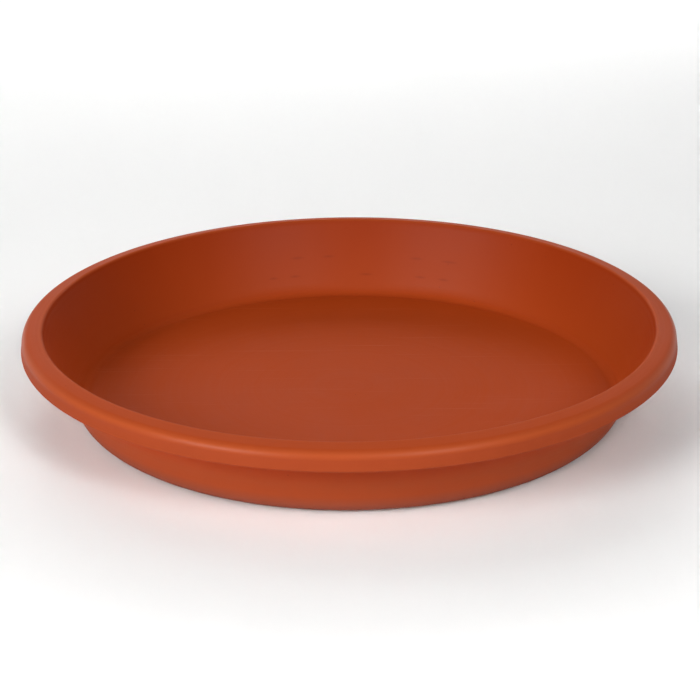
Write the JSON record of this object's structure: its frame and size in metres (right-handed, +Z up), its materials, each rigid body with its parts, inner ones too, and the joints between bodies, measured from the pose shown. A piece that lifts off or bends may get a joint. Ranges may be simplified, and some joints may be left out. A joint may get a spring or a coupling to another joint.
{
  "type": "plant saucer",
  "caption": "Round plastic plant saucer: a flat floor, a flared wall and a hollow rim that turns out and down, to catch water under a flower pot.",
  "frame": {"origin": "centre of the base, on the surface that the saucer stands on", "axes": "+Z up along the axis of the round dish; +X and +Y are any two square directions, because it is round"},
  "size_m": [0.3, 0.3, 0.04],
  "materials": {
    "terracotta_plastic": "satin, terracotta-coloured polypropylene with the mould's fine turned finish"
  },
  "bodies": {
    "root": {"saucer": "terracotta_plastic"}
  },
  "joints": []
}
